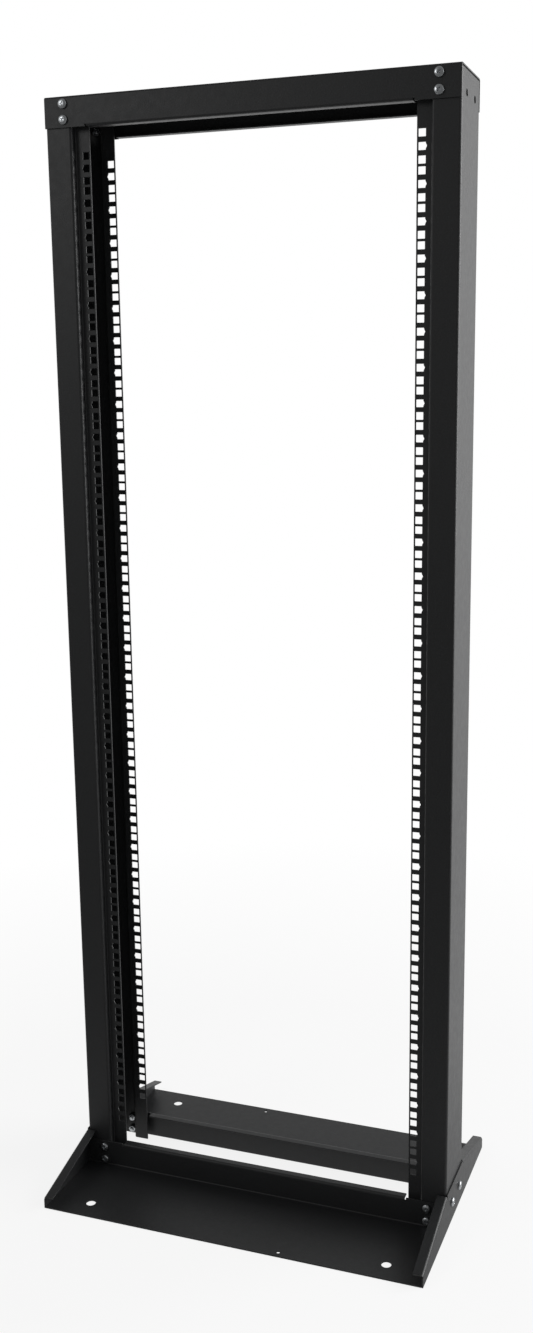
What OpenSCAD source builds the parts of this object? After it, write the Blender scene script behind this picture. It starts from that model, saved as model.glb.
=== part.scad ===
// Two post open frame rack for 19 inch equipment, bent from sheet steel.
// Two C-shaped posts stand on a low welded base and carry a channel beam.
// Millimetres. Origin on the floor, midway between the posts. +Z is up,
// -Y is the front, +X is the right-hand side seen from the front.

/* [Rack] */
// Height in rack units
units = 32; // [6:1:47]
// Outside width over the two posts
rack_w = 570; // [540:1:620]
// Clear width between the mounting strips
opening_w = 452; // [448:0.5:455]
// Depth of a post, front face to rear face
post_d = 95; // [80:1:160]
// Depth of the base, front edge to rear edge
base_d = 365; // [300:1:700]
// Distance from the floor, and from the top, to the middle of the nearest mounting hole
rail_end = 75; // [70:0.5:140]

/* [Mounting holes] */
// Height of one rack unit
unit_h = 44.45; // [44:0.05:46]
// Height between neighbouring holes of one rack unit
hole_pitch = 15.875; // [15:0.005:16]
// Distance between the left and the right column of holes
column_w = 465.12; // [465:0.01:466]
// Side of a square hole
square = 9.5; // [8:0.1:10.2]
// How far the middle hole of a unit points outwards
pointer = 1.6; // [0.5:0.1:2.5]

/* [Sheet metal] */
// Sheet thickness
sheet = 2; // [1.5:0.1:2.5]
// Inside radius of every bend
bend_r = 1.5; // [0.5:0.1:2]
// Gap that the paint leaves between two sheets
paint_gap = 0.1; // [0:0.05:0.3]

/* [Posts] */
// Width of the plain face beside the mounting strip
face_w = 38; // [36:0.5:44]
// Distance that the mounting strip is set back from the face
setback = 11; // [8:0.5:20]
// Gap between a post and the floor
post_lift = 1; // [0:0.1:3]

/* [Top beam] */
// Height of the beam
beam_h = 40; // [38:0.5:60]
// Depth of the lip under each side of the beam
beam_lip = 13; // [6:0.5:20]

/* [Base] */
// Height of the upright web of a base plate
web_h = 40; // [38:0.5:52]
// Depth of the lip along the top of a web
web_lip = 12; // [6:0.5:20]
// Distance between the floor bolt holes, left to right
floor_hole_x = 454; // [300:1:500]
// Distance from the base's edge to a floor bolt hole
floor_hole_edge = 31; // [15:0.5:60]
// Diameter of a floor bolt hole
floor_hole_d = 14; // [6:0.5:18]
// Diameter of the small drain hole
drain_d = 5; // [3:0.5:8]
// Distance from the base's edge to the drain hole
drain_edge = 9; // [6:0.5:14]
// Distance from the middle to the drain hole
drain_x = 77; // [0:1:150]
// Height of a side plate beside the post
side_h = 55; // [48:0.5:90]
// Height of a side plate at its ends
side_end_h = 18; // [10:0.5:30]
// Width of the flange along a side plate's slopes
side_flange = 15; // [8:0.5:25]

/* [Screws] */
// Distance from the rack's top or floor to the nearest screw
screw_end = 10; // [9:0.5:14]
// Distance between the two screws of a pair
screw_pitch = 20; // [16:0.5:22]
// Distance from a post's outer side to its screws
screw_in = 28; // [12:0.5:30]
// Height of the holes in a post's side above the floor, and below the top
side_hole_z = 30; // [24:0.5:38]
// Distance between the two holes in a post's side, front to rear
side_hole_y = 44; // [20:0.5:60]
// Diameter of the holes in a post's side
side_hole_d = 9; // [6.5:0.1:10]
// Diameter of a screw's shank
screw_d = 6; // [4:0.5:6]
// Length of a screw's shank
screw_l = 12; // [10:0.5:16]
// Diameter of a screw's head
head_d = 12.5; // [11:0.1:14]
// Height of a screw's head
head_h = 3.8; // [2.5:0.1:5]
// Height of the domed part of a screw's head
dome_h = 1.5; // [0.8:0.1:2]
// Width of each arm of the cross recess
recess_w = 1.5; // [1:0.1:2]
// Length of the cross recess from end to end
recess_l = 6.2; // [5:0.1:7]
// Depth of the cross recess
recess_d = 1.9; // [1:0.1:2]
// Play of a screw in its hole
screw_play = 1; // [0.4:0.1:2]
// Width across the flats of a nut
nut_w = 10; // [8:0.5:11]
// Height of a nut
nut_h = 5; // [3:0.5:6]

/* [Hidden] */
$fn = 48;

paint = "#232425";
zinc = "#c9ccce";

bend_o = bend_r + sheet;
rack_h = 2 * rail_end + (units - 1) * unit_h + 2 * hole_pitch;
half_w = rack_w / 2;
half_d = post_d / 2;
half_open = opening_w / 2;
column_x = column_w / 2;
step_x = half_w - face_w;
strip_y = half_d - setback;

// The beam and the webs lie over the posts' faces.
cover_y = half_d + paint_gap + sheet;
beam_under = rack_h - sheet;
post_top = beam_under - bend_r - paint_gap;
post_h = post_top - post_lift;
// Lips and bends stop short of the posts, with a relief cut beside them.
relief = sheet;
lip_x = half_open - relief;

side_x = half_w + paint_gap + sheet;
side_rise = side_h - side_end_h;
side_run = base_d / 2 - half_d;
side_angle = atan(side_rise / side_run);

screw_x = half_w - screw_in;
low_screws = [screw_end, screw_end + screw_pitch];
high_screws = [rack_h - screw_end - screw_pitch, rack_h - screw_end];
screw_hole_d = screw_d + screw_play;
nut_seat = sheet + paint_gap + sheet;
nut_play = 0.05;
// How far a cutter reaches past the surface that it cuts, and its length
// where it goes through one or two sheets.
cut = 1;
drill = 4 * sheet;
// The dome's radius is large, so its arc is drawn in finer steps.
dome_fn = 96;

function hole_z(unit, place) = rail_end + unit * unit_h + place * hole_pitch;

// --- Shapes shared by the sheet metal parts ---

// Quarter of a bend in the first quadrant, with its centre at the origin.
module bend_section() {
    intersection() {
        difference() {
            circle(r = bend_o);
            circle(r = bend_r);
        }
        square(bend_o);
    }
}

// A block from one corner to the opposite corner.
module block(low, high) {
    translate(low) cube(high - low);
}

// A flat piece of the section, from one corner to the opposite corner.
module flat(low, high) {
    translate(low) square(high - low);
}

// Both halves of a shape that is alike in front and behind.
module front_and_rear() {
    children();
    mirror([0, 1, 0]) children();
}

// Both halves of a shape that is alike on the left and the right.
module left_and_right() {
    children();
    mirror([1, 0, 0]) children();
}

// Stands a drawing in X and Z upright, so that its thickness runs along +Y.
module upright(thickness) {
    translate([0, thickness, 0]) rotate([90, 0, 0]) linear_extrude(thickness) children();
}

// A round cutter through one sheet or two, along X or along Y.
module bore_along_x(place, diameter) {
    translate(place) rotate([0, 90, 0]) cylinder(d = diameter, h = drill, center = true);
}

module bore_along_y(place, diameter) {
    translate(place) rotate([90, 0, 0]) cylinder(d = diameter, h = drill, center = true);
}

// --- Posts ---

// A post's rail in section: outer bend, plain face, step and the bend beside the strip.
module rail_section() {
    translate([half_w - bend_o, half_d - bend_o]) bend_section();
    flat([step_x + bend_o, half_d - sheet], [half_w - bend_o, half_d]);
    translate([step_x + bend_o, half_d - bend_o]) mirror([1, 0]) bend_section();
    flat([step_x, strip_y + bend_r], [step_x + sheet, half_d - bend_o]);
    translate([step_x - bend_r, strip_y + bend_r]) mirror([0, 1]) bend_section();
}

// One square hole; the middle hole of each unit points away from the opening.
module mounting_hole(pointed) {
    square(square, center = true);
    if (pointed)
        polygon([[square / 2 - cut, -square / 2 + pointer], [square / 2, -square / 2 + pointer],
                 [square / 2 + pointer, 0],
                 [square / 2, square / 2 - pointer], [square / 2 - cut, square / 2 - pointer]]);
}

// The flat strip with the square holes, drawn in X and Z.
module mounting_strip() {
    difference() {
        flat([half_open, post_lift], [step_x - bend_r, post_top]);
        for (unit = [0 : units - 1], place = [0 : 2])
            translate([column_x, hole_z(unit, place)]) mounting_hole(place == 1);
    }
}

// Rear rail of the right post, up to the line where its outer bend meets the side.
module rail_sheet() {
    difference() {
        union() {
            translate([0, 0, post_lift]) linear_extrude(post_h) rail_section();
            translate([0, strip_y - sheet, 0]) upright(sheet) mounting_strip();
        }
        for (z = concat(low_screws, high_screws))
            bore_along_y([screw_x, half_d, z], screw_hole_d);
    }
}

// Side of the right post, between the bends of its two rails.
module post_side_sheet() {
    difference() {
        block([half_w - sheet, -half_d + bend_o, post_lift], [half_w, half_d - bend_o, post_top]);
        for (z = [side_hole_z, rack_h - side_hole_z], y = [-side_hole_y / 2, side_hole_y / 2])
            bore_along_x([half_w, y, z], side_hole_d);
    }
}

module right_post_side() {
    color(paint) post_side_sheet();
}

module right_post_front_rail() {
    color(paint) mirror([0, 1, 0]) rail_sheet();
}

module right_post_rear_rail() {
    color(paint) rail_sheet();
}

module left_post_side() {
    color(paint) mirror([1, 0, 0]) post_side_sheet();
}

module left_post_front_rail() {
    color(paint) rotate([0, 0, 180]) rail_sheet();
}

module left_post_rear_rail() {
    color(paint) mirror([1, 0, 0]) rail_sheet();
}

// --- Top beam ---

// Rear half of the beam's section in Y and Z, above the bend of its lip.
module beam_half_section() {
    flat([0, beam_under], [cover_y - bend_o, rack_h]);
    translate([cover_y - bend_o, rack_h - bend_o]) bend_section();
    flat([cover_y - sheet, rack_h - beam_h + bend_o], [cover_y, rack_h - bend_o]);
}

// The lip and its bend, in Y and Z, at a height; up says which way it turns.
module lip_section(depth, height, up) {
    turn = up ? [0, 0] : [0, 1];
    shift = up ? -bend_o : bend_o;
    thick = up ? [height - sheet, height] : [height, height + sheet];
    flat([cover_y - depth, thick[0]], [cover_y - bend_o, thick[1]]);
    translate([cover_y - bend_o, height + shift]) mirror(turn) bend_section();
}

// Runs a drawing in Y and Z along X between two places.
module along_x(from, to) {
    translate([from, 0, 0]) rotate([90, 0, 90]) linear_extrude(to - from) children();
}

module top_beam() {
    color(paint) difference() {
        union() {
            front_and_rear() {
                along_x(-half_w, half_w) beam_half_section();
                along_x(-lip_x, lip_x) lip_section(beam_lip, rack_h - beam_h, false);
                left_and_right()
                    block([half_open, cover_y - sheet, rack_h - beam_h],
                          [half_w, cover_y, rack_h - beam_h + bend_o]);
            }
        }
        for (z = high_screws, x = [-screw_x, screw_x], y = [-cover_y, cover_y])
            bore_along_y([x, y, z], screw_hole_d);
    }
}

// --- Base ---

// Rear base plate: a plate on the floor, a web against the posts and a lip.
module base_plate_sheet() {
    difference() {
        union() {
            along_x(-half_w, half_w) {
                flat([cover_y - sheet + bend_o, 0], [base_d / 2, sheet]);
                translate([cover_y - sheet + bend_o, bend_o]) rotate(180) bend_section();
                flat([cover_y - sheet, bend_o], [cover_y, web_h - bend_o]);
            }
            along_x(-lip_x, lip_x) lip_section(web_lip, web_h, true);
            left_and_right()
                block([half_open, cover_y - sheet, web_h - bend_o], [half_w, cover_y, web_h]);
        }
        for (x = [-floor_hole_x / 2, floor_hole_x / 2])
            translate([x, base_d / 2 - floor_hole_edge, 0])
                cylinder(d = floor_hole_d, h = drill, center = true);
        translate([-drain_x, base_d / 2 - drain_edge, 0])
            cylinder(d = drain_d, h = drill, center = true);
        for (z = low_screws, x = [-screw_x, screw_x])
            bore_along_y([x, cover_y, z], screw_hole_d);
    }
}

module rear_base_plate() {
    color(paint) base_plate_sheet();
}

module front_base_plate() {
    color(paint) rotate([0, 0, 180]) base_plate_sheet();
}

// Front slope's flange with its bend, cut off upright at both ends.
module slope_flange() {
    long = side_run / cos(side_angle);
    intersection() {
        translate([0, -base_d / 2, side_end_h]) rotate([side_angle, 0, 0])
            translate([0, long + side_flange, 0]) rotate([90, 0, 0])
                linear_extrude(long + 2 * side_flange) {
                    translate([side_x - bend_o, -bend_o]) bend_section();
                    flat([side_x - side_flange, -sheet], [side_x - bend_o, 0]);
                }
        block([0, -base_d / 2, 0], [side_x + cut, -half_d - paint_gap, side_h + side_flange]);
    }
}

module right_side_sheet() {
    drop = bend_o / cos(side_angle);
    end_y = half_d + paint_gap;
    difference() {
        union() {
            front_and_rear() slope_flange();
            along_x(side_x - sheet, side_x)
                polygon([[-base_d / 2, 0], [base_d / 2, 0],
                         [base_d / 2, side_end_h - drop], [end_y, side_h - drop],
                         [end_y, side_h], [-end_y, side_h],
                         [-end_y, side_h - drop], [-base_d / 2, side_end_h - drop]]);
        }
        for (y = [-side_hole_y / 2, side_hole_y / 2])
            bore_along_x([side_x, y, side_hole_z], side_hole_d);
    }
}

module right_side_plate() {
    color(paint) right_side_sheet();
}

module left_side_plate() {
    color(paint) mirror([1, 0, 0]) right_side_sheet();
}

// --- Screws and nuts ---

// Pan head screw along +Z: the head's seat is at the origin, the shank below.
module screw() {
    dome_r = (pow(head_d / 2, 2) + pow(dome_h, 2)) / (2 * dome_h);
    color(zinc) difference() {
        union() {
            rotate_extrude() intersection() {
                square([head_d / 2, head_h]);
                translate([0, head_h - dome_r]) circle(r = dome_r, $fn = dome_fn);
            }
            translate([0, 0, -screw_l]) cylinder(d = screw_d, h = screw_l + head_h / 2);
        }
        for (turn = [45, 135])
            rotate([0, 0, turn])
                block([-recess_l / 2, -recess_w / 2, head_h - recess_d],
                      [recess_l / 2, recess_w / 2, head_h + cut]);
    }
}

// Hexagon nut along -Z, with its seat on the far side of the two sheets.
module nut() {
    color(zinc) translate([0, 0, -nut_seat - nut_h]) difference() {
        cylinder(d = nut_w / cos(30), h = nut_h, $fn = 6);
        translate([0, 0, -cut]) cylinder(d = screw_d + 2 * nut_play, h = nut_h + 2 * cut);
    }
}

// A pair on the beam's or a web's face; x_side and y_side choose the corner.
module face_pair(x_side, y_side, heights) {
    for (z = heights)
        translate([x_side * screw_x, y_side * cover_y, z]) rotate([-90 * y_side, 0, 0]) children();
}

// A pair on the outside of a side plate.
module side_pair(x_side) {
    for (y = [-side_hole_y / 2, side_hole_y / 2])
        translate([x_side * side_x, y, side_hole_z]) rotate([0, 90 * x_side, 0]) children();
}

left_post_side();
left_post_front_rail();
left_post_rear_rail();
right_post_side();
right_post_front_rail();
right_post_rear_rail();
top_beam();
front_base_plate();
rear_base_plate();
left_side_plate();
right_side_plate();
face_pair(-1, -1, high_screws) screw();  // top_front_left_screws
face_pair(1, -1, high_screws) screw();  // top_front_right_screws
face_pair(-1, 1, high_screws) screw();  // top_rear_left_screws
face_pair(1, 1, high_screws) screw();  // top_rear_right_screws
face_pair(-1, -1, low_screws) screw();  // base_front_left_screws
face_pair(1, -1, low_screws) screw();  // base_front_right_screws
face_pair(-1, 1, low_screws) screw();  // base_rear_left_screws
face_pair(1, 1, low_screws) screw();  // base_rear_right_screws
side_pair(-1) screw();  // side_left_screws
side_pair(1) screw();  // side_right_screws
face_pair(-1, -1, high_screws) nut();  // top_front_left_nuts
face_pair(1, -1, high_screws) nut();  // top_front_right_nuts
face_pair(-1, 1, high_screws) nut();  // top_rear_left_nuts
face_pair(1, 1, high_screws) nut();  // top_rear_right_nuts
face_pair(-1, -1, low_screws) nut();  // base_front_left_nuts
face_pair(1, -1, low_screws) nut();  // base_front_right_nuts
face_pair(-1, 1, low_screws) nut();  // base_rear_left_nuts
face_pair(1, 1, low_screws) nut();  // base_rear_right_nuts
side_pair(-1) nut();  // side_left_nuts
side_pair(1) nut();  // side_right_nuts
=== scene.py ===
"""Looks of a two post open frame rack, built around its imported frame.

Every sheet metal part is drawn as a flat pattern with its holes, given rounded
cut edges and folded through its bends, the way the real part is made. Lengths
are in millimetres until a mesh is finished, and then in metres.
"""

import logging
import math
from dataclasses import dataclass
from enum import Enum
from typing import Callable, Iterable, Sequence

import bpy
import numpy as np
from mathutils import Matrix, Vector
from mathutils.geometry import delaunay_2d_cdt


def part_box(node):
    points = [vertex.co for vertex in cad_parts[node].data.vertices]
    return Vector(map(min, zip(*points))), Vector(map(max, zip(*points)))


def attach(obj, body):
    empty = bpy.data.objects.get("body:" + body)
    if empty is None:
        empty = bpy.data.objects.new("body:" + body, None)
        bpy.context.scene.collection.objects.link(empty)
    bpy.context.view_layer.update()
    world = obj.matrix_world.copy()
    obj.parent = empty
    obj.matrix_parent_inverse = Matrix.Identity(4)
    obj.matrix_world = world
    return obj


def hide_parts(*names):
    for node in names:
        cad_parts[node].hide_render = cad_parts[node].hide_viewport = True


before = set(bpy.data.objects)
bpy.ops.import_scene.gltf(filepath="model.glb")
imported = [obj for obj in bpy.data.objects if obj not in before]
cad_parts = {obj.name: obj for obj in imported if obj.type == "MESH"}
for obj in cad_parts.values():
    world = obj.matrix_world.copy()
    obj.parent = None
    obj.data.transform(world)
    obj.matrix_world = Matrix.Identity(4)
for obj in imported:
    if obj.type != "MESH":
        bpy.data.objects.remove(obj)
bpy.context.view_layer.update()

MM = 0.001
# Edges that turn by more than this stay sharp.
SHARP_DEG = 35.0
LOG = logging.getLogger("rack")

Point = tuple[float, float]
Loop = list[Point]


class Hand(Enum):
    """Side of the rack, seen from the front."""

    LEFT = -1
    RIGHT = 1


class End(Enum):
    """Front or rear of the rack."""

    FRONT = -1
    REAR = 1


# --- Sizes ---


@dataclass(frozen=True)
class Span:
    """Lowest and highest corner of a CAD node, in millimetres."""

    low: Vector
    high: Vector


def span(node: str) -> Span:
    """Reads where a CAD node is.

    Args:
        node: The CAD node's name.

    Returns:
        Its box in millimetres.
    """
    low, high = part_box(node)
    return Span(low / MM, high / MM)


@dataclass(frozen=True)
class RackSizes:
    """Sizes that several parts share, in millimetres."""

    sheet: float
    bend_r: float
    half_w: float
    half_d: float
    half_open: float
    strip_y: float
    cover_y: float
    height: float
    post_low: float
    post_high: float
    face_w: float = 38.0
    unit_h: float = 44.45
    hole_pitch: float = 15.875
    first_hole: float = 75.0
    column_x: float = 232.56
    screw_x: float = 257.0
    screw_hole_d: float = 7.0
    side_hole_d: float = 9.0
    side_hole_y: float = 22.0
    side_hole_z: float = 30.0
    screw_end: float = 10.0
    screw_pitch: float = 20.0

    @classmethod
    def from_frame(cls) -> "RackSizes":
        """Takes the main sizes from the boxes of the CAD nodes."""
        side = span("right_post_side")
        rail = span("right_post_rear_rail")
        beam = span("top_beam")
        sheet = side.high.x - side.low.x
        return cls(
            sheet=sheet,
            bend_r=rail.high.y - side.high.y - sheet,
            half_w=side.high.x,
            half_d=rail.high.y,
            half_open=rail.low.x,
            strip_y=rail.low.y + sheet,
            cover_y=beam.high.y,
            height=beam.high.z,
            post_low=side.low.z,
            post_high=side.high.z,
        )

    @property
    def bend_o(self) -> float:
        """Outside radius of a bend."""
        return self.bend_r + self.sheet

    @property
    def bend_mid(self) -> float:
        """Radius of a bend at the middle of the sheet."""
        return self.bend_r + self.sheet / 2

    @property
    def step_x(self) -> float:
        """Distance from the middle of the rack to the step beside the strip."""
        return self.half_w - self.face_w

    @property
    def lip_x(self) -> float:
        """Half length of the lips, which stop a relief cut short of the posts."""
        return self.half_open - self.sheet

    @property
    def units(self) -> int:
        """Rack units that the posts' height holds."""
        holes = self.height - 2 * self.first_hole - 2 * self.hole_pitch
        return round(holes / self.unit_h) + 1

    @property
    def low_screws(self) -> list[float]:
        """Heights of the screws at the base."""
        return [self.screw_end, self.screw_end + self.screw_pitch]

    @property
    def high_screws(self) -> list[float]:
        """Heights of the screws at the top beam."""
        return [self.height - z for z in reversed(self.low_screws)]


# --- Outlines of flat patterns ---


def rounded(corners: Sequence[Point], radius: float, steps: int = 3) -> Loop:
    """Rounds every corner of a closed outline.

    Args:
        corners: The outline's corners in order.
        radius: Radius of each corner, in millimetres.
        steps: Straight pieces in each rounded corner.

    Returns:
        The outline with its corners turned into arcs.
    """
    loop: Loop = []
    for i, corner in enumerate(corners):
        here = Vector(corner)
        before = (Vector(corners[i - 1]) - here).normalized()
        after = (Vector(corners[(i + 1) % len(corners)]) - here).normalized()
        half_angle = before.angle(after) / 2
        setback = radius / math.tan(half_angle)
        centre = here + (before + after).normalized() * (radius / math.sin(half_angle))
        start = here + before * setback - centre
        turn = start.angle_signed(here + after * setback - centre)
        for k in range(steps + 1):
            arm = start.copy()
            arm.rotate(Matrix.Rotation(-turn * k / steps, 2))
            loop.append(tuple(centre + arm))
    return loop


def round_hole(centre: Point, diameter: float, steps: int = 40) -> Loop:
    """Outline of a drilled hole.

    Args:
        centre: Middle of the hole in the flat pattern.
        diameter: Diameter in millimetres.
        steps: Straight pieces in the circle.

    Returns:
        The hole's outline.
    """
    turns = [2 * math.pi * k / steps for k in range(steps)]
    r = diameter / 2
    return [(centre[0] + r * math.cos(a), centre[1] + r * math.sin(a)) for a in turns]


@dataclass(frozen=True)
class MountingHole:
    """Square hole of the 19 inch pattern, punched with barely rounded corners."""

    side: float = 9.5
    pointer: float = 1.6
    corner_r: float = 0.5

    def outline(self, centre: Point, outward: int, pointed: bool) -> Loop:
        """Draws one hole.

        Args:
            centre: Middle of the hole in the flat pattern.
            outward: 1 or -1, the direction along u that leads away from the opening.
            pointed: True for the middle hole of a unit.

        Returns:
            The hole's outline.
        """
        h, p = self.side / 2, self.pointer
        corners = [(-h, -h), (h, -h), (h, h), (-h, h)]
        if pointed:
            corners[2:2] = [(h, -h + p), (h + p, 0.0), (h, h - p)]
        placed = [(centre[0] + outward * x, centre[1] + y) for x, y in corners]
        return rounded(placed, self.corner_r)


# --- Folding ---


@dataclass(frozen=True)
class Station:
    """A point on a sheet's middle plane with the sheet's own directions there."""

    point: Vector
    along: Vector
    across: Vector

    @property
    def outward(self) -> Vector:
        """Direction through the thickness."""
        return self.along.cross(self.across)


Fold = Callable[[float, float], Station]


@dataclass(frozen=True)
class Move:
    """One stretch of a section: a flat length, or a bend with its middle radius."""

    length: float = 0.0
    turn: float = 0.0
    radius: float = 0.0

    @property
    def run(self) -> float:
        """Length of the stretch in the flat pattern."""
        return self.length + abs(math.radians(self.turn)) * self.radius


class Section:
    """Middle line of a folded sheet, made of flats and bends."""

    STEPS_PER_BEND = 8

    def __init__(self, start: Point, heading: float, moves: Sequence[Move]) -> None:
        """Lays out the section.

        Args:
            start: First point of the middle line.
            heading: Direction of the first stretch, in degrees.
            moves: The stretches in order.
        """
        self.moves = list(moves)
        self.marks = [0.0]
        self.starts = [(Vector(start), math.radians(heading))]
        for move in self.moves:
            self.marks.append(self.marks[-1] + move.run)
            self.starts.append(self._advance(*self.starts[-1], move, move.run))

    @staticmethod
    def _advance(point: Vector, heading: float, move: Move, run: float) -> tuple[Vector, float]:
        """Goes a distance along one stretch and gives the new point and heading."""
        ahead = Vector((math.cos(heading), math.sin(heading)))
        if not move.turn:
            return point + ahead * run, heading
        sign = math.copysign(1.0, move.turn)
        left = Vector((-ahead.y, ahead.x)) * sign
        angle = run / move.radius
        swing = ahead * math.sin(angle) + left * (1 - math.cos(angle))
        return point + swing * move.radius, heading + sign * angle

    @property
    def length(self) -> float:
        """Length of the whole section in the flat pattern."""
        return self.marks[-1]

    def at(self, u: float, straight_before: int = 0, straight_after: int = -1) -> tuple[Vector, float]:
        """Finds a place on the section.

        Args:
            u: Distance along the flat pattern.
            straight_before: Mark below which the sheet runs on unbent.
            straight_after: Mark above which the sheet runs on unbent.

        Returns:
            The point and the heading there, in radians.
        """
        for mark, low in ((straight_before, True), (straight_after, False)):
            edge = self.marks[mark]
            if (u < edge) if low else (u > edge):
                point, heading = self.starts[mark]
                return self._advance(point, heading, Move(length=1.0), u - edge)
        for i, move in enumerate(self.moves):
            if u <= self.marks[i + 1] or i == len(self.moves) - 1:
                return self._advance(*self.starts[i], move, u - self.marks[i])
        raise ValueError("a section needs at least one stretch")

    def bend_lines(self) -> list[float]:
        """Distances at which the mesh needs an edge so that its bends come out round."""
        lines: list[float] = []
        for i, move in enumerate(self.moves):
            if move.turn:
                n = self.STEPS_PER_BEND
                lines += [self.marks[i] + move.run * k / n for k in range(n + 1)]
        return lines


@dataclass(frozen=True)
class Axes:
    """Directions in the rack of a section's two axes and of the length it is drawn out to."""

    first: Vector
    second: Vector
    length: Vector

    def station(self, place: tuple[Vector, float], v: float) -> Station:
        """Puts a place on a section into the rack.

        Args:
            place: Point and heading on the section.
            v: Distance along the part's length.

        Returns:
            The station there.
        """
        point, heading = place
        along = self.first * math.cos(heading) + self.second * math.sin(heading)
        where = self.first * point.x + self.second * point.y + self.length * v
        return Station(where, along, self.length)


# --- Meshes ---


@dataclass
class MeshParts:
    """Vertices, faces and normals that are gathered for one piece."""

    points: list[Vector]
    faces: list[tuple[int, ...]]
    normals: list[Vector]

    @classmethod
    def empty(cls) -> "MeshParts":
        """Starts a piece with nothing in it."""
        return cls([], [], [])

    def add(self, point: Vector, normal: Vector | None = None) -> int:
        """Adds one vertex and gives its number."""
        self.points.append(point)
        if normal is not None:
            self.normals.append(normal)
        return len(self.points) - 1

    def placed(self, place: Matrix) -> "MeshParts":
        """Gives a copy that is moved to a place, for meshes without their own normals."""
        return MeshParts([place @ p for p in self.points], list(self.faces), [])

    def join(self, other: "MeshParts") -> None:
        """Adds another mesh without its own normals to this one."""
        first = len(self.points)
        self.points += other.points
        self.faces += [tuple(first + i for i in face) for face in other.faces]

    def build(self, name: str) -> bpy.types.Object:
        """Makes the Blender object.

        Args:
            name: Name of the piece.

        Returns:
            The object, in metres, with its own normals.
        """
        mesh = bpy.data.meshes.new(name)
        mesh.from_pydata([p * MM for p in self.points], [], self.faces)
        mesh.shade_smooth()
        if self.normals:
            mesh.normals_split_custom_set_from_vertices([n.normalized() for n in self.normals])
        else:
            mesh.set_sharp_from_angle(angle=math.radians(SHARP_DEG))
        piece = bpy.data.objects.new(name, mesh)
        bpy.context.scene.collection.objects.link(piece)
        return piece


def inside(loop: Loop, spots: np.ndarray) -> np.ndarray:
    """Tells which spots lie inside a closed outline.

    Args:
        loop: The outline.
        spots: Points, one a row.

    Returns:
        One truth value for each spot.
    """
    found = np.zeros(len(spots), bool)
    x, y = spots[:, 0], spots[:, 1]
    for (x0, y0), (x1, y1) in zip(loop, loop[1:] + loop[:1]):
        if y0 == y1:
            continue
        crossed = (y0 > y) != (y1 > y)
        found ^= crossed & (x < (x1 - x0) * (y - y0) / (y1 - y0) + x0)
    return found


class Sheet:
    """A sheet metal part: a flat pattern with holes, folded, with rounded cut edges."""

    EDGE_R = 0.35
    EDGE_STEPS = 2
    MERGE = 1e-4

    def __init__(
        self,
        thickness: float,
        outline: Loop,
        holes: Sequence[Loop],
        creases: Sequence[tuple[Point, Point]],
        fold: Fold,
    ) -> None:
        """Takes in the pattern.

        Args:
            thickness: Thickness of the sheet.
            outline: Outside of the flat pattern.
            holes: Outlines of the holes.
            creases: Lines along which the mesh needs edges, so that bends are round.
            fold: Gives the station in the rack for a place in the pattern.
        """
        self.thickness = thickness
        self.outline = outline
        self.holes = list(holes)
        self.creases = list(creases)
        self.fold = fold

    def _triangles(self) -> tuple[list[Vector], list[tuple[int, ...]]]:
        """Cuts the pattern into triangles, without its holes."""
        spots: list[Vector] = []
        edges: list[tuple[int, int]] = []
        for loop in [self.outline, *self.holes]:
            first = len(spots)
            spots += [Vector(p) for p in loop]
            count = len(loop)
            edges += [(first + i, first + (i + 1) % count) for i in range(count)]
        for crease in self.creases:
            edges.append((len(spots), len(spots) + 1))
            spots += [Vector(p) for p in crease]
        made = delaunay_2d_cdt(spots, edges, [], 0, self.MERGE, False)
        points, faces = made[0], made[2]
        middles = np.array([sum((points[i] for i in f), Vector((0, 0))) / len(f) for f in faces])
        kept = inside(self.outline, middles)
        for hole in self.holes:
            kept &= ~inside(hole, middles)
        return points, [tuple(f) for f, keep in zip(faces, kept) if keep]

    def _edge_profile(self) -> list[tuple[float, float, float, float]]:
        """Inset, height, outward share and upward share of the normal, down a cut edge."""
        half, r = self.thickness / 2, self.EDGE_R
        upper = []
        for k in range(self.EDGE_STEPS + 1):
            a = math.pi / 2 * k / self.EDGE_STEPS
            upper.append((r * (1 - math.sin(a)), half - r + r * math.cos(a), math.sin(a), math.cos(a)))
        return upper + [(inset, -w, out, -up) for inset, w, out, up in reversed(upper)]

    def parts(self) -> MeshParts:
        """Builds the folded sheet."""
        points, faces = self._triangles()
        directed = {(f[i], f[(i + 1) % 3]) for f in faces for i in range(3)}
        rim = [(a, b) for a, b in directed if (b, a) not in directed]
        # The order of a set may differ between runs, so the rim is sorted.
        rim.sort()
        normals_at: dict[int, list[tuple[Vector, float]]] = {}
        for a, b in rim:
            step = points[b] - points[a]
            outward = Vector((step.y, -step.x)).normalized()
            for i in (a, b):
                normals_at.setdefault(i, []).append((outward, step.length))
        made = MeshParts.empty()
        rings: dict[int, list[int]] = {}
        profile = self._edge_profile()
        half = self.thickness / 2
        for i in sorted({i for f in faces for i in f}):
            p = points[i]
            if i not in normals_at:
                at = self.fold(p.x, p.y)
                rings[i] = [made.add(at.point + at.outward * w, at.outward * w) for w in (half, -half)]
                continue
            (n1, l1), (n2, l2) = normals_at[i][:2]
            mitre = (n1 + n2) / (1 + n1.dot(n2))
            facing = (n1 * l1 + n2 * l2).normalized()
            rings[i] = []
            for inset, w, out, up in profile:
                q = p - mitre * inset
                at = self.fold(q.x, q.y)
                normal = (at.along * facing.x + at.across * facing.y) * out + at.outward * up
                rings[i].append(made.add(at.point + at.outward * w, normal))
        for a, b, c in faces:
            made.faces.append((rings[a][0], rings[b][0], rings[c][0]))
            made.faces.append((rings[c][-1], rings[b][-1], rings[a][-1]))
        for a, b in rim:
            for k in range(len(profile) - 1):
                made.faces.append((rings[a][k], rings[a][k + 1], rings[b][k + 1], rings[b][k]))
        return made


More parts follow.
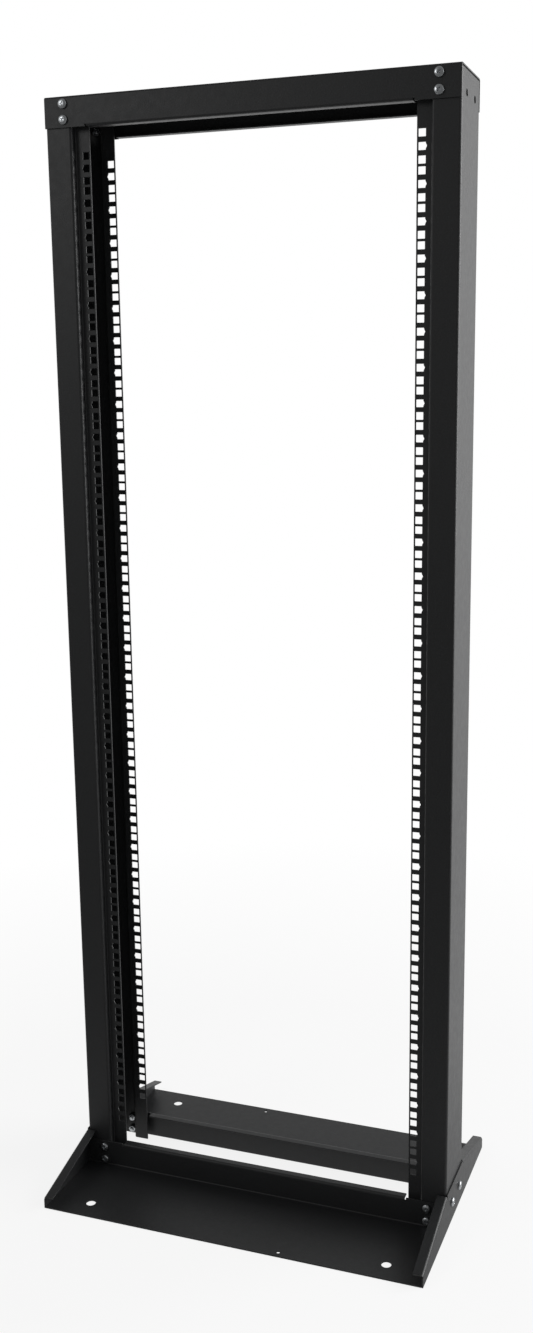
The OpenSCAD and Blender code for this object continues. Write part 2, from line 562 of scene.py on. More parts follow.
def crease_lines(section: Section, reach: float) -> list[tuple[Point, Point]]:
    """Crease lines across a part that is drawn out from a section.

    Args:
        section: The part's section.
        reach: Half of a length that is longer than the part.

    Returns:
        One line for each step of each bend.
    """
    return [((u, -reach), (u, reach)) for u in section.bend_lines()]


# --- Finishes ---


def linear(hex_colour: str) -> tuple[float, float, float, float]:
    """Turns an sRGB hex colour into the linear colour that shaders take.

    Args:
        hex_colour: Colour such as #1c1d1e.

    Returns:
        Red, green, blue and 1.
    """
    values = [int(hex_colour[i : i + 2], 16) / 255 for i in (1, 3, 5)]
    lin = [v / 12.92 if v <= 0.04045 else ((v + 0.055) / 1.055) ** 2.4 for v in values]
    return (lin[0], lin[1], lin[2], 1.0)


def add_node(
    tree: bpy.types.NodeTree,
    kind: str,
    values: dict[str | int, object] | None = None,
    links: dict[str | int, bpy.types.NodeSocket] | None = None,
    **settings: object,
) -> bpy.types.Node:
    """Adds one node to a tree.

    Args:
        tree: The tree of a material or of the world.
        kind: The node's Blender type.
        values: Input sockets and what they are set to.
        links: Input sockets and the output sockets that feed them.
        **settings: Properties of the node itself.

    Returns:
        The new node.
    """
    made = tree.nodes.new(kind)
    for key, value in settings.items():
        setattr(made, key, value)
    for key, value in (values or {}).items():
        made.inputs[key].default_value = value
    for key, socket in (links or {}).items():
        tree.links.new(socket, made.inputs[key])
    return made


def per_mm(size: float) -> float:
    """Noise scale that gives features of a size in millimetres."""
    return 1 / (size * MM)


def empty_material(name: str) -> bpy.types.Material:
    """Makes a material with no nodes in it."""
    material = bpy.data.materials.new(name)
    material.use_nodes = True
    material.node_tree.nodes.clear()
    return material


@dataclass(frozen=True)
class PowderCoat:
    """Black epoxy-polyester powder, sprayed and baked with a fine texture.

    The baked grains leave a satin skin: dark and dull when it is seen straight
    on, and pale at a low angle, with a faint grain over all of it.
    """

    name: str = "black_fine_texture_powder_coat"
    dark: str = "#101112"
    pale: str = "#28292a"
    ior: float = 1.5
    roughness_low: float = 0.40
    roughness_high: float = 0.52
    # The real grain is about 0.6 mm across, too fine to show, so it is drawn coarser.
    grain_mm: float = 1.9
    ripple_mm: float = 9.0
    grain_height_mm: float = 0.13
    ripple_height_mm: float = 0.05

    def build(self) -> bpy.types.Material:
        """Makes the material."""
        material = empty_material(self.name)
        tree = material.node_tree
        place = add_node(tree, "ShaderNodeTexCoord").outputs["Object"]
        grain = add_node(
            tree, "ShaderNodeTexNoise",
            {"Scale": per_mm(self.grain_mm), "Detail": 2.0, "Roughness": 0.6}, {"Vector": place},
        ).outputs["Fac"]
        ripple = add_node(
            tree, "ShaderNodeTexNoise",
            {"Scale": per_mm(self.ripple_mm), "Detail": 1.0}, {"Vector": place},
        ).outputs["Fac"]
        colour = add_node(
            tree, "ShaderNodeMix", {6: linear(self.dark), 7: linear(self.pale)}, {0: grain},
            data_type="RGBA",
        ).outputs[2]
        roughness = add_node(
            tree, "ShaderNodeMapRange",
            {"To Min": self.roughness_low, "To Max": self.roughness_high}, {"Value": ripple},
        ).outputs["Result"]
        coarse = add_node(
            tree, "ShaderNodeBump",
            {"Strength": 1.0, "Distance": self.ripple_height_mm * MM}, {"Height": ripple},
        ).outputs["Normal"]
        fine = add_node(
            tree, "ShaderNodeBump",
            {"Strength": 1.0, "Distance": self.grain_height_mm * MM},
            {"Height": grain, "Normal": coarse},
        ).outputs["Normal"]
        skin = add_node(
            tree, "ShaderNodeBsdfPrincipled",
            {"IOR": self.ior},
            {"Base Color": colour, "Roughness": roughness, "Normal": fine},
        )
        add_node(tree, "ShaderNodeOutputMaterial", links={"Surface": skin.outputs["BSDF"]})
        return material


@dataclass(frozen=True)
class ZincPlate:
    """Bright zinc plating on steel, barrel plated and passivated clear.

    It gives the eye a cool grey metal that is a little milky, with soft
    highlights and small dull patches from the tumbling.
    """

    name: str = "bright_zinc_plated_steel"
    bright: str = "#d3d6d8"
    dull: str = "#b4b8bb"
    roughness_low: float = 0.20
    roughness_high: float = 0.36
    patch_mm: float = 2.5
    # Plating grain is a few hundredths of a millimetre, drawn at 0.4 mm to show.
    grain_mm: float = 0.4
    grain_height_mm: float = 0.006

    def build(self) -> bpy.types.Material:
        """Makes the material."""
        material = empty_material(self.name)
        tree = material.node_tree
        place = add_node(tree, "ShaderNodeTexCoord").outputs["Object"]
        patch = add_node(
            tree, "ShaderNodeTexNoise",
            {"Scale": per_mm(self.patch_mm), "Detail": 3.0}, {"Vector": place},
        ).outputs["Fac"]
        grain = add_node(
            tree, "ShaderNodeTexNoise",
            {"Scale": per_mm(self.grain_mm), "Detail": 1.0}, {"Vector": place},
        ).outputs["Fac"]
        colour = add_node(
            tree, "ShaderNodeMix", {6: linear(self.bright), 7: linear(self.dull)}, {0: patch},
            data_type="RGBA",
        ).outputs[2]
        roughness = add_node(
            tree, "ShaderNodeMapRange",
            {"To Min": self.roughness_low, "To Max": self.roughness_high}, {"Value": patch},
        ).outputs["Result"]
        bump = add_node(
            tree, "ShaderNodeBump",
            {"Strength": 1.0, "Distance": self.grain_height_mm * MM}, {"Height": grain},
        ).outputs["Normal"]
        skin = add_node(
            tree, "ShaderNodeBsdfPrincipled",
            {"Metallic": 1.0},
            {"Base Color": colour, "Roughness": roughness, "Normal": bump},
        )
        add_node(tree, "ShaderNodeOutputMaterial", links={"Surface": skin.outputs["BSDF"]})
        return material


@dataclass
class Finishes:
    """The materials of the rack, made once."""

    powder: bpy.types.Material
    zinc: bpy.types.Material

    @classmethod
    def make(cls) -> "Finishes":
        """Builds both materials."""
        return cls(PowderCoat().build(), ZincPlate().build())


def dress(
    parts: MeshParts, name: str, material: bpy.types.Material, nodes: Iterable[str]
) -> bpy.types.Object:
    """Turns a mesh into a finished piece that stands for CAD nodes.

    Args:
        parts: The piece's mesh.
        name: Name of the piece.
        material: Its material.
        nodes: CAD nodes that the piece stands for.

    Returns:
        The piece.
    """
    nodes = list(nodes)
    piece = parts.build(name)
    piece.data.materials.append(material)
    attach(piece, "root")
    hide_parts(*nodes)
    LOG.info("%s: %d faces, for %s", name, len(piece.data.polygons), ", ".join(nodes))
    return piece


# --- Sheet metal parts ---


X_AXIS, Y_AXIS, Z_AXIS = Vector((1, 0, 0)), Vector((0, 1, 0)), Vector((0, 0, 1))


@dataclass
class Post:
    """C-shaped post: two mounting strips, two stepped faces and a side, bent from one sheet."""

    sizes: RackSizes
    hand: Hand
    hole: MountingHole
    corner_r: float = 0.6

    def section(self) -> Section:
        """Section of the right post from above, from the front strip round to the rear one."""
        s = self.sizes
        half = s.sheet / 2
        bend = s.bend_mid
        strip = s.step_x - s.bend_r - s.half_open
        step = s.half_d - s.strip_y - s.bend_r - s.bend_o
        face = s.face_w - 2 * s.bend_o
        side = 2 * (s.half_d - s.bend_o)
        quarter = Move(turn=90, radius=bend)
        back = Move(turn=-90, radius=bend)
        half_way = [Move(strip), back, Move(step), quarter, Move(face), quarter]
        return Section(
            (s.half_open, -(s.strip_y - half)), 0.0,
            [*half_way, Move(side), *reversed(half_way)],
        )

    def holes(self, section: Section) -> list[Loop]:
        """Outlines of all holes in the flat pattern."""
        s = self.sizes
        loops: list[Loop] = []
        column = s.column_x - s.half_open
        face = section.marks[4] + s.screw_x - (s.step_x + s.bend_o)
        for u, outward in ((column, 1), (section.length - column, -1)):
            for unit in range(s.units):
                for place in range(3):
                    z = s.first_hole + unit * s.unit_h + place * s.hole_pitch
                    loops.append(self.hole.outline((u, z), outward, place == 1))
        for u in (face, section.length - face):
            for z in s.low_screws + s.high_screws:
                loops.append(round_hole((u, z), s.screw_hole_d))
        for y in (-s.side_hole_y, s.side_hole_y):
            for z in (s.side_hole_z, s.height - s.side_hole_z):
                loops.append(round_hole((section.length / 2 + y, z), s.side_hole_d))
        return loops

    def build(self, finishes: Finishes) -> bpy.types.Object:
        """Builds and dresses the post."""
        s = self.sizes
        section = self.section()
        axes = Axes(X_AXIS * self.hand.value, Y_AXIS, Z_AXIS)
        low, high, end = s.post_low, s.post_high, section.length
        outline = rounded([(0, low), (end, low), (end, high), (0, high)], self.corner_r)
        sheet = Sheet(
            s.sheet, outline, self.holes(section), crease_lines(section, 2 * s.height),
            lambda u, v: axes.station(section.at(u), v),
        )
        side = self.hand.name.lower()
        nodes = [f"{side}_post_{part}" for part in ("side", "front_rail", "rear_rail")]
        return dress(sheet.parts(), f"{side}_post", finishes.powder, nodes)


@dataclass
class TopBeam:
    """Channel across the top of both posts, open downwards, with a lip under each side."""

    sizes: RackSizes
    beam_h: float
    lip: float = 13.0
    corner_r: float = 0.6

    def section(self) -> Section:
        """Section seen along the beam, from the front lip over the top to the rear lip."""
        s = self.sizes
        half = s.sheet / 2
        quarter = Move(turn=-90, radius=s.bend_mid)
        lip = Move(self.lip - s.bend_o)
        web = Move(self.beam_h - 2 * s.bend_o)
        top = Move(2 * (s.cover_y - s.bend_o))
        start = (-(s.cover_y - self.lip), s.height - self.beam_h + half)
        return Section(start, 180.0, [lip, quarter, web, quarter, top, quarter, web, quarter, lip])

    def build(self, finishes: Finishes) -> bpy.types.Object:
        """Builds and dresses the beam."""
        s = self.sizes
        section = self.section()
        axes = Axes(Y_AXIS, Z_AXIS, -X_AXIS)
        fold_u, end = section.marks[2], section.length
        tab = fold_u - s.bend_o
        # The lips stop short of the posts, and beside them the web runs straight down.
        quarter = [
            (0, s.lip_x), (fold_u, s.lip_x), (fold_u, s.half_open),
            (tab, s.half_open), (tab, s.half_w),
        ]
        near = quarter + [(end - u, v) for u, v in reversed(quarter)]
        corners = near + [(u, -v) for u, v in reversed(near)]
        drop = section.marks[2] - (s.height - self.beam_h + s.bend_o)
        holes = []
        for z in s.high_screws:
            for x in (-s.screw_x, s.screw_x):
                for u in (z + drop, end - z - drop):
                    holes.append(round_hole((u, x), s.screw_hole_d))

        def fold(u: float, v: float) -> Station:
            """Folds the lips in the middle and leaves the ends of the webs straight."""
            if abs(v) > (s.lip_x + s.half_open) / 2:
                return axes.station(section.at(u, 2, -3), v)
            return axes.station(section.at(u), v)

        sheet = Sheet(
            s.sheet, rounded(corners, self.corner_r), holes,
            crease_lines(section, 2 * s.half_w), fold,
        )
        return dress(sheet.parts(), "top_beam_sheet", finishes.powder, ["top_beam"])


@dataclass
class BasePlate:
    """Plate on the floor with an upright web, which is screwed to both posts, and a lip."""

    sizes: RackSizes
    end: End
    depth: float
    web_h: float
    lip: float = 12.0
    floor_hole_x: float = 227.0
    floor_hole_edge: float = 31.0
    floor_hole_d: float = 14.0
    drain_x: float = 77.0
    drain_edge: float = 9.0
    drain_d: float = 5.0
    corner_r: float = 0.8

    def section(self) -> Section:
        """Section seen along the rack's width, from the lip down to the plate's edge."""
        s = self.sizes
        half = s.sheet / 2
        plate = self.depth - (s.cover_y - s.sheet + s.bend_o)
        return Section(
            (s.cover_y - self.lip, self.web_h - half), 0.0,
            [
                Move(self.lip - s.bend_o), Move(turn=-90, radius=s.bend_mid),
                Move(self.web_h - 2 * s.bend_o), Move(turn=90, radius=s.bend_mid), Move(plate),
            ],
        )

    def build(self, finishes: Finishes) -> bpy.types.Object:
        """Builds and dresses the plate."""
        s = self.sizes
        section = self.section()
        axes = Axes(Y_AXIS * self.end.value, Z_AXIS, -X_AXIS * self.end.value)
        fold_u, edge = section.marks[2], section.length
        tab = fold_u - s.bend_o
        near = [
            (0, s.lip_x), (fold_u, s.lip_x), (fold_u, s.half_open), (tab, s.half_open),
            (tab, s.half_w), (edge, s.half_w),
        ]
        corners = near + [(u, -v) for u, v in reversed(near)]
        holes = [
            round_hole((edge - self.floor_hole_edge, x), self.floor_hole_d)
            for x in (-self.floor_hole_x, self.floor_hole_x)
        ]
        holes.append(round_hole((edge - self.drain_edge, self.drain_x), self.drain_d))
        for z in s.low_screws:
            for x in (-s.screw_x, s.screw_x):
                holes.append(round_hole((fold_u + self.web_h - s.bend_o - z, x), s.screw_hole_d))

        def fold(u: float, v: float) -> Station:
            """Folds the lip in the middle and leaves the ends of the web straight."""
            if abs(v) > (s.lip_x + s.half_open) / 2:
                return axes.station(section.at(u, 2), v)
            return axes.station(section.at(u), v)

        sheet = Sheet(
            s.sheet, rounded(corners, self.corner_r), holes,
            crease_lines(section, 2 * s.half_w), fold,
        )
        name = f"{self.end.name.lower()}_base_plate"
        return dress(sheet.parts(), f"{name}_sheet", finishes.powder, [name])


@dataclass(frozen=True)
class Slope:
    """Bend line along one slope of a side plate, in the plate's flat pattern."""

    foot: Vector
    along: Vector
    up: Vector

    def place(self, t: float, d: float) -> Point:
        """Point at a distance along the bend line and a distance past it."""
        return tuple(self.foot + self.along * t + self.up * d)

    def measure(self, p: Vector) -> Point:
        """Distance along the bend line and distance past it."""
        arm = p - self.foot
        return arm.dot(self.along), arm.dot(self.up)


@dataclass
class SidePlate:
    """Gusset on the outside of a post's foot, with flanges bent in along its slopes."""

    sizes: RackSizes
    hand: Hand
    side_x: float
    height: float
    depth: float
    end_h: float = 18.0
    flange: float = 15.0
    flange_start: float = 0.3
    relief: float = 2.4
    corner_r: float = 0.4
    bend_steps: int = 8

    def slopes(self) -> list[Slope]:
        """Bend lines in front and behind; t runs from the low end towards the post."""
        s = self.sizes
        angle = math.atan2(self.height - self.end_h, self.depth - s.half_d)
        found = []
        for sign in (-1, 1):
            along = Vector((-sign * math.cos(angle), math.sin(angle)))
            up = Vector((sign * math.sin(angle), math.cos(angle)))
            found.append(Slope(Vector((sign * self.depth, self.end_h)) - up * s.bend_o, along, up))
        return found

    @property
    def post_edge(self) -> float:
        """Distance from the middle to where the plate's level top begins."""
        return self.sizes.cover_y - self.sizes.sheet

    def flange_end(self) -> float:
        """Distance along a slope at which its flange stops, short of the post."""
        run = self.depth - self.post_edge
        angle = math.atan2(self.height - self.end_h, self.depth - self.sizes.half_d)
        return run / math.cos(angle) - self.relief

    def fold_at(self, u: float, v: float) -> Station:
        """Folds the plate's flat pattern."""
        s = self.sizes
        p = Vector((u, v))
        arc = s.bend_mid * math.pi / 2
        out, depth = X_AXIS * self.hand.value, Y_AXIS * self.hand.value
        x = self.side_x - s.sheet / 2
        for slope in self.slopes():
            t, d = slope.measure(p)
            if d <= 0 or t > self.flange_end() + self.relief / 3:
                continue
            angle = min(d, arc) / s.bend_mid
            base = slope.foot + slope.along * t
            up = depth * slope.up.x + Z_AXIS * slope.up.y
            along = depth * slope.along.x + Z_AXIS * slope.along.y
            past = max(d - arc, 0.0)
            point = out * x + depth * base.x + Z_AXIS * base.y
            point += up * (s.bend_mid * math.sin(angle))
            point -= out * (s.bend_mid * (1 - math.cos(angle)) + past)
            up_turned = up * math.cos(angle) - out * math.sin(angle)
            return Station(
                point,
                along * slope.along.x + up_turned * slope.up.x,
                along * slope.along.y + up_turned * slope.up.y,
            )
        return Station(out * x + depth * u + Z_AXIS * v, depth, Z_AXIS)

    def build(self, finishes: Finishes) -> bpy.types.Object:
        """Builds and dresses the plate."""
        s = self.sizes
        front, rear = self.slopes()
        reach = s.bend_mid * math.pi / 2 + self.flange - s.bend_o
        stop, start = self.flange_end(), self.flange_start
        drop = s.bend_o / front.up.y

        def side_of(slope: Slope, sign: int) -> Loop:
            """Corners of one slope, from the low end up to the level top."""
            return [
                (sign * self.depth, self.end_h - drop),
                slope.place(start, 0), slope.place(start, reach),
                slope.place(stop, reach), slope.place(stop, 0),
                (sign * self.post_edge, self.height - drop), (sign * self.post_edge, self.height),
            ]

        corners = [(-self.depth, 0.0), (self.depth, 0.0)]
        corners += side_of(rear, 1)
        corners += list(reversed(side_of(front, -1)))
        creases = []
        arc = s.bend_mid * math.pi / 2
        for slope in (front, rear):
            for k in range(self.bend_steps + 1):
                d = arc * k / self.bend_steps
                creases.append((slope.place(-s.face_w, d), slope.place(stop + self.relief / 3, d)))
        holes = [round_hole((y, s.side_hole_z), s.side_hole_d) for y in (-s.side_hole_y, s.side_hole_y)]
        sheet = Sheet(s.sheet, rounded(corners, self.corner_r), holes, creases, self.fold_at)
        name = f"{self.hand.name.lower()}_side_plate"
        return dress(sheet.parts(), f"{name}_sheet", finishes.powder, [name])


# --- Fasteners ---


def closed_rings(rings: Sequence[Sequence[Vector]], capped: bool) -> MeshParts:
    """Joins rings of points, bottom to top, into a closed mesh.

    Args:
        rings: Rings with the same number of points, each counterclockwise from above.
        capped: True for caps on both ends, False for a last ring that meets the first.

    Returns:
        The mesh.
    """
    made = MeshParts.empty()
    numbers = [[made.add(p) for p in ring] for ring in rings]
    pairs = list(zip(numbers, numbers[1:]))
    if not capped:
        pairs.append((numbers[-1], numbers[0]))
    for low, high in pairs:
        for k in range(len(low)):
            after = (k + 1) % len(low)
            made.faces.append((low[k], low[after], high[after], high[k]))
    if capped:
        made.faces.append(tuple(reversed(numbers[0])))
        made.faces.append(tuple(numbers[-1]))
    return made


def circle(radius: float, z: float, count: int) -> list[Vector]:
    """Ring of points round the Z axis."""
    turns = [2 * math.pi * k / count for k in range(count)]
    return [Vector((radius * math.cos(a), radius * math.sin(a), z)) for a in turns]


def carve(body: MeshParts, cutter: MeshParts) -> MeshParts:
    """Cuts one closed mesh out of another.

    Args:
        body: The mesh that is cut.
        cutter: The mesh that is taken away.

    Returns:
        What is left of the body.
    """
    solid, tool = body.build("carve_body"), cutter.build("carve_tool")
    cut = solid.modifiers.new("cut", "BOOLEAN")
    cut.operation = "DIFFERENCE"
    cut.solver = "EXACT"
    cut.object = tool
    seen = solid.evaluated_get(bpy.context.evaluated_depsgraph_get())
    mesh = seen.to_mesh()
    points = [v.co / MM for v in mesh.vertices]
    faces = [tuple(p.vertices) for p in mesh.polygons]
    seen.to_mesh_clear()
    for used in (solid, tool):
        data = used.data
        bpy.data.objects.remove(used)
        bpy.data.meshes.remove(data)
    return MeshParts(points, faces, [])


@dataclass
class PanHeadScrew:
    """Pan head M6 screw with a cross recess. Its seat is at the origin and its head is up."""

    head_r: float = 6.25
    head_h: float = 3.8
    rim_h: float = 1.5
    seat_edge: float = 0.3
    shank_r: float = 3.0
    shank_l: float = 12.0
    pitch: float = 1.0
    thread_depth: float = 0.45
    tip_chamfer: float = 0.7
    rings_per_turn: int = 6
    recess_l: float = 6.2
    recess_w: float = 1.6
    recess_floor_l: float = 2.6
    recess_floor_w: float = 0.9
    recess_depth: float = 1.9
    columns: int = 48
    dome_rings: int = 9
    # Powers that flatten the dome and square its rim.
    dome_rise: float = 0.85
    dome_spread: float = 0.7

    def outside(self) -> list[list[Vector]]:
        """Rings of the head, from the shank outwards and over the dome."""
        profile = [(self.shank_r, 0.0), (self.head_r - self.seat_edge, 0.0), (self.head_r, self.seat_edge)]
        for k in range(self.dome_rings):
            a = math.pi / 2 * k / self.dome_rings
            z = self.rim_h + (self.head_h - self.rim_h) * math.sin(a) ** self.dome_rise
            profile.append((self.head_r * math.cos(a) ** self.dome_spread, z))
        return [circle(r, z, self.columns) for r, z in profile]

    def shank(self) -> list[list[Vector]]:
        """Rings of the threaded shank, from its tip up to the seat."""
        rings = []
        steps = round(self.shank_l / self.pitch * self.rings_per_turn)
        for i in range(steps):
            z = -self.shank_l + self.shank_l * i / steps
            tip = min(z + self.shank_l, self.tip_chamfer) - self.tip_chamfer
            ring = []
            for k in range(self.columns):
                turn = k / self.columns
                phase = (z / self.pitch - turn) % 1.0
                r = self.shank_r - self.thread_depth * abs(2 * phase - 1) + tip
                a = 2 * math.pi * turn
                ring.append(Vector((r * math.cos(a), r * math.sin(a), z)))
            rings.append(ring)
        return rings

    def recess(self) -> MeshParts:
        """Tapered cross that is cut into the head."""
        def outline(length: float, width: float, z: float) -> list[Vector]:
            """Cross turned by 45 degrees, counterclockwise."""
            a, b = length / 2, width / 2
            points = []
            for k in range(4):
                turn = Matrix.Rotation(math.pi / 2 * k + math.pi / 4, 3, "Z")
                points += [turn @ Vector((x, y, z)) for x, y in ((a, -b), (a, b), (b, b))]
            return points

        low = outline(self.recess_floor_l, self.recess_floor_w, self.head_h - self.recess_depth)
        high = outline(self.recess_l, self.recess_w, self.head_h + self.seat_edge)
        return closed_rings([low, high], True)

    def build(self) -> MeshParts:
        """Builds the screw."""
        return carve(closed_rings(self.shank() + self.outside(), True), self.recess())


@dataclass
class HexNut:
    """M6 nut with both faces chamfered. It stands on the far side of the two sheets."""

    width: float = 10.0
    height: float = 5.0
    bore_r: float = 3.05
    bore_chamfer: float = 0.4
    face_share: float = 0.95
    chamfer_deg: float = 30.0
    seat: float = 4.1
    columns: int = 48

    def build(self) -> MeshParts:
        """Builds the nut, below the origin by the thickness of two sheets."""
        flat_r = self.width / 2 * self.face_share
        slope = math.tan(math.radians(self.chamfer_deg))
        base = -self.seat - self.height
        rings: list[list[Vector]] = [[] for _ in range(8)]
        for k in range(self.columns):
            a = 2 * math.pi * k / self.columns
            from_flat = (a + math.pi / 6) % (math.pi / 3) - math.pi / 6
            hex_r = self.width / 2 / math.cos(from_flat)
            drop = (hex_r - flat_r) * slope
            chamfer, top = self.bore_chamfer, self.height
            profile = [
                (self.bore_r, chamfer), (self.bore_r + chamfer, 0.0),
                (flat_r, 0.0), (hex_r, drop), (hex_r, top - drop), (flat_r, top),
                (self.bore_r + chamfer, top), (self.bore_r, top - chamfer),
            ]
            for ring, (r, z) in zip(rings, profile):
                ring.append(Vector((r * math.cos(a), r * math.sin(a), base + z)))
        return closed_rings(rings, False)


@dataclass
class Fasteners:
    """All screws and nuts of the rack, in pairs."""

    sizes: RackSizes
    side_x: float
    seed: int = 11

    def pairs(self) -> list[tuple[str, list[Matrix]]]:
        """Names of the pairs and the places of their two screws."""
        s = self.sizes
        found = []
        for level, heights in (("top", s.high_screws), ("base", s.low_screws)):
            for end in End:
                for hand in Hand:
                    spin = Matrix.Rotation(math.radians(-90 * end.value), 4, "X")
                    places = [
                        Matrix.Translation((hand.value * s.screw_x, end.value * s.cover_y, z)) @ spin
                        for z in heights
                    ]
                    found.append((f"{level}_{end.name.lower()}_{hand.name.lower()}", places))
        for hand in Hand:
            spin = Matrix.Rotation(math.radians(90 * hand.value), 4, "Y")
            places = [
                Matrix.Translation((hand.value * self.side_x, y, s.side_hole_z)) @ spin
                for y in (-s.side_hole_y, s.side_hole_y)
            ]
            found.append((f"side_{hand.name.lower()}", places))
        return found

    def build(self, finishes: Finishes) -> None:
        """Builds and dresses every pair, each screw tightened to its own turn."""
        turns = np.random.default_rng(self.seed)
        shapes = (("screws", PanHeadScrew().build()), ("nuts", HexNut().build()))
        for pair, places in self.pairs():
            for kind, shape in shapes:
                both = MeshParts.empty()
                for place in places:
                    turn = Matrix.Rotation(turns.uniform(0, math.pi / 2), 4, "Z")
                    both.join(shape.placed(place @ turn))
                node = f"{pair}_{kind}"
                dress(both, f"{node}_set", finishes.zinc, [node])


# --- Studio ---


@dataclass
class Studio:
    """Pale floor, soft light from the rear right and a white surround."""

    floor_size: float = 60.0
    floor_colour: str = "#e4e4e4"
    diffuse_level: float = 0.40
    front_level: float = 0.16
    above_level: float = 0.22
    white_level: float = 1.0
    # Share of the floor's own shade seen beside the rack, which keeps its shadow.
    shadow_share: float = 0.15
    key_watts: float = 125.0
    fill_watts: float = 14.0
    fill_size: float = 1.2

    def floor(self) -> None:
        """Makes the floor, which looks white but keeps the rack's shadow."""
        made = closed_rings([[Vector((x, y, 0.0)) for x, y in ((-1, -1), (1, -1), (1, 1), (-1, 1))]], True)
        half = self.floor_size / 2 / MM
        flat = MeshParts([p * half for p in made.points], [made.faces[-1]], [])
        plate = flat.build("studio_floor")
        material = empty_material("pale_studio_floor")
        tree = material.node_tree
        path = add_node(tree, "ShaderNodeLightPath")
        place = add_node(tree, "ShaderNodeTexCoord").outputs["Object"]
        depth = add_node(tree, "ShaderNodeSeparateXYZ", links={0: place}).outputs["Y"]
        mirrored = add_node(
            tree, "ShaderNodeMapRange",
            {"From Min": -0.5, "From Max": 0.5, "To Min": self.front_level, "To Max": self.white_level},
            {"Value": depth},
        ).outputs["Result"]
        level = add_node(
            tree, "ShaderNodeMix", {3: self.white_level},
            {0: path.outputs["Is Camera Ray"], 2: mirrored},
        ).outputs[0]
        seen = add_node(
            tree, "ShaderNodeMath",
            links={0: path.outputs["Is Camera Ray"], 1: path.outputs["Is Glossy Ray"]},
            operation="MAXIMUM",
        ).outputs[0]
        away = add_node(tree, "ShaderNodeVectorMath", links={0: place}, operation="LENGTH")
        near = add_node(
            tree, "ShaderNodeMapRange",
            {"From Min": 0.6, "From Max": 1.6, "To Min": self.shadow_share, "To Max": 0.0},
            {"Value": away.outputs["Value"]},
        ).outputs["Result"]
        shade = add_node(
            tree, "ShaderNodeMath", links={0: path.outputs["Is Camera Ray"], 1: near},
            operation="MULTIPLY",
        ).outputs[0]
        bare = add_node(
            tree, "ShaderNodeMath", links={0: seen, 1: shade}, operation="SUBTRACT",
        ).outputs[0]
        cover = add_node(tree, "ShaderNodeBsdfDiffuse", {"Color": linear(self.floor_colour)})
        glow = add_node(tree, "ShaderNodeEmission", links={"Strength": level})
        both = add_node(
            tree, "ShaderNodeMixShader",
            links={0: bare, 1: cover.outputs[0], 2: glow.outputs[0]},
        )
        add_node(tree, "ShaderNodeOutputMaterial", links={"Surface": both.outputs[0]})
        plate.data.materials.append(material)

    def surround(self) -> None:
        """Makes the world: white behind and beside the rack, dimmer in front of it."""
        world = bpy.data.worlds.new("studio_world")
        bpy.context.scene.world = world
        world.use_nodes = True
        tree = world.node_tree
        tree.nodes.clear()
        path = add_node(tree, "ShaderNodeLightPath")
        direction = add_node(tree, "ShaderNodeTexCoord").outputs["Generated"]
        axes = add_node(tree, "ShaderNodeSeparateXYZ", links={0: direction})
        level_front = add_node(
            tree, "ShaderNodeMapRange",
            {"From Min": -0.6, "From Max": 0.2, "To Min": self.front_level, "To Max": self.white_level},
            {"Value": axes.outputs["Y"]},
        ).outputs["Result"]
        level_above = add_node(
            tree, "ShaderNodeMapRange",
            {"From Min": 0.25, "From Max": 0.6, "To Min": self.white_level, "To Max": self.above_level},
            {"Value": axes.outputs["Z"]},
        ).outputs["Result"]
        mirrored = add_node(
            tree, "ShaderNodeMath", links={0: level_front, 1: level_above}, operation="MINIMUM",
        ).outputs[0]
        soft = add_node(
            tree, "ShaderNodeMix", {2: self.diffuse_level},
            {0: path.outputs["Is Glossy Ray"], 3: mirrored},
        ).outputs[0]
        white = add_node(
            tree, "ShaderNodeMath",
            links={0: path.outputs["Is Camera Ray"], 1: path.outputs["Is Transmission Ray"]},
            operation="MAXIMUM",
        ).outputs[0]
        level = add_node(
            tree, "ShaderNodeMix", {3: self.white_level}, {0: white, 2: soft},
        ).outputs[0]
        glow = add_node(tree, "ShaderNodeBackground", links={"Strength": level})
        glow.inputs["Color"].default_value = (1.0, 1.0, 1.0, 1.0)
        add_node(tree, "ShaderNodeOutputWorld", links={"Surface": glow.outputs[0]})

    def lamp(self, name: str, place: Vector, aim: Vector, size: float, watts: float) -> None:
        """Adds one large soft lamp that points at a place."""
        light = bpy.data.lights.new(name, "AREA")
        light.shape = "SQUARE"
        light.size = size
        light.energy = watts
        made = bpy.data.objects.new(name, light)
        made.location = place
        made.rotation_euler = (aim - place).to_track_quat("-Z", "Y").to_euler()
        bpy.context.scene.collection.objects.link(made)

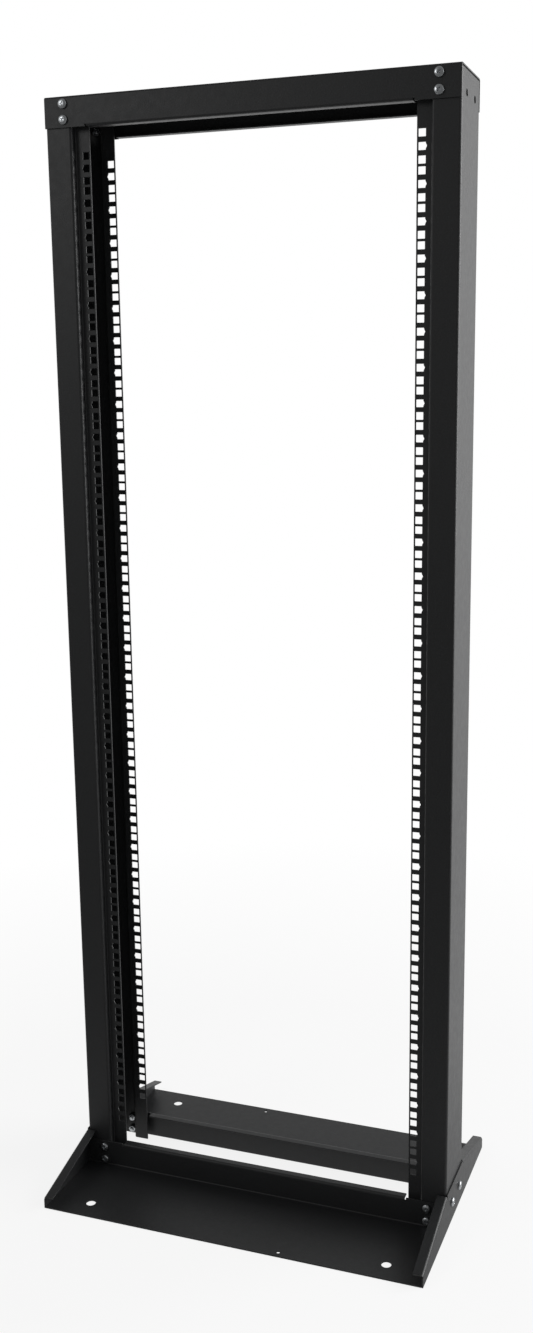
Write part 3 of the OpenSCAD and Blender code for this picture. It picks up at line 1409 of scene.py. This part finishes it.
    def build(self) -> None:
        """Sets up the whole studio."""
        self.floor()
        self.surround()
        middle = Vector((0, 0, 0.8))
        self.lamp("key_lamp", Vector((3.0, 1.3, 1.7)), middle, 2.5, self.key_watts)
        self.lamp("fill_lamp", Vector((-2.2, -2.6, 2.4)), middle, self.fill_size, self.fill_watts)
        bpy.context.scene.view_settings.view_transform = "Standard"
        LOG.info("studio: floor, surround and two lamps")


@dataclass
class Viewpoint:
    """Camera from the front and a little to the right, at chest height."""

    place: tuple[float, float, float] = (0.6863, -1.7362, 1.1630)
    azimuth: float = 19.064
    elevation: float = -11.375
    roll: float = -0.303
    lens: float = 36.385
    sensor: float = 36.0
    shift: Point = (-0.04179, 0.00310)

    def build(self) -> None:
        """Makes the camera."""
        az, el = math.radians(self.azimuth), math.radians(self.elevation)
        ahead = Vector((-math.sin(az) * math.cos(el), math.cos(az) * math.cos(el), math.sin(el)))
        right = Vector((math.cos(az), math.sin(az), 0.0))
        up = right.cross(ahead)
        facing = Matrix((right, up, -ahead)).transposed().to_4x4()
        camera = bpy.data.cameras.new("camera")
        camera.lens, camera.sensor_width = self.lens, self.sensor
        camera.shift_x, camera.shift_y = self.shift
        camera.clip_end = 200.0
        made = bpy.data.objects.new("camera", camera)
        turn = Matrix.Rotation(math.radians(self.roll), 4, "Z")
        made.matrix_world = Matrix.Translation(self.place) @ facing @ turn
        bpy.context.scene.collection.objects.link(made)
        bpy.context.scene.camera = made
        LOG.info("camera: lens %.1f mm", self.lens)


def main() -> None:
    """Builds the rack piece by piece, then the studio and the camera."""
    logging.basicConfig(level=logging.INFO, format="%(name)s: %(message)s")
    Viewpoint().build()
    sizes = RackSizes.from_frame()
    finishes = Finishes.make()
    beam, web, gusset = span("top_beam"), span("rear_base_plate"), span("right_side_plate")
    hole = MountingHole()
    for hand in Hand:
        Post(sizes, hand, hole).build(finishes)
    TopBeam(sizes, beam.high.z - beam.low.z).build(finishes)
    for end in End:
        BasePlate(sizes, end, web.high.y, web.high.z).build(finishes)
    for hand in Hand:
        SidePlate(sizes, hand, gusset.high.x, gusset.high.z, gusset.high.y).build(finishes)
    Fasteners(sizes, gusset.high.x).build(finishes)
    Studio().build()


if __name__ == "__main__":
    main()
